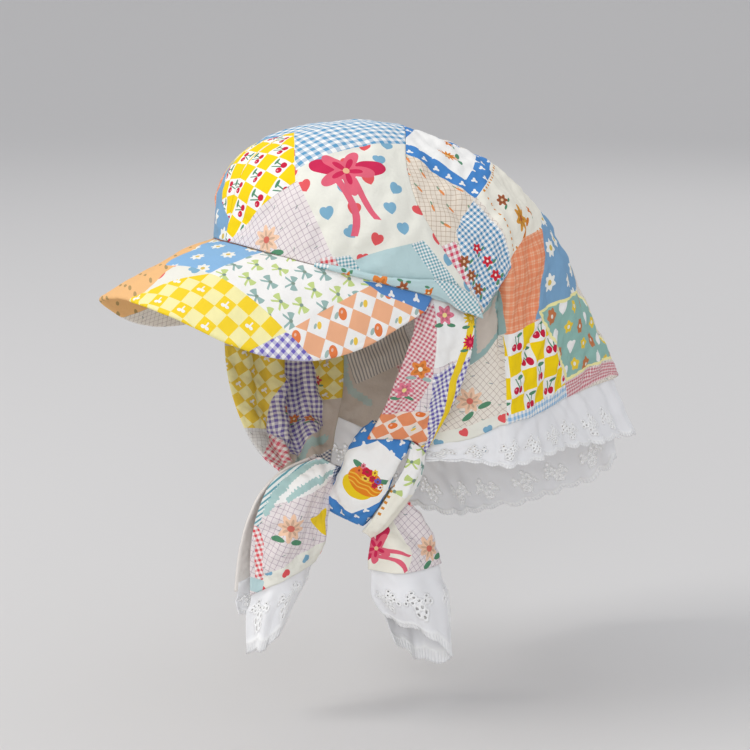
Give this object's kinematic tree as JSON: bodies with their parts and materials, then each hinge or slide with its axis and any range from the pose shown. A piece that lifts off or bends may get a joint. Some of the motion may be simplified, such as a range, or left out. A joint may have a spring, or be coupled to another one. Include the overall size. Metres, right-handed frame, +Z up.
{
  "type": "headscarf baseball cap",
  "caption": "Soft peaked cap with a large patchwork-print scarf sewn to the crown, knotted below the chin and edged with white eyelet lace.",
  "frame": {"origin": "centre of the head opening at the hat line, where a head holds the cap", "axes": "+Z up, the peak points to -Y, +X is the wearer's left"},
  "size_m": [0.197, 0.4089, 0.362],
  "materials": {
    "crown_print": "matt printed cotton",
    "peak_print": "matt printed cotton over a stiff board",
    "scarf_print": "matt printed cotton",
    "lace": "matt white cotton eyelet lace"
  },
  "bodies": {
    "root": {"crown_panel_left": "crown_print", "crown_panel_right": "crown_print", "peak": "peak_print", "side_band_left": "crown_print", "side_band_right": "crown_print", "veil": "scarf_print", "tie_left": "scarf_print", "tie_right": "scarf_print", "knot": "scarf_print", "knot_loop": "scarf_print", "tail_left": "scarf_print", "tail_right": "scarf_print", "lace_tail_left": "lace", "lace_tail_right": "lace", "lace_left": "lace", "lace_right": "lace"}
  },
  "joints": []
}
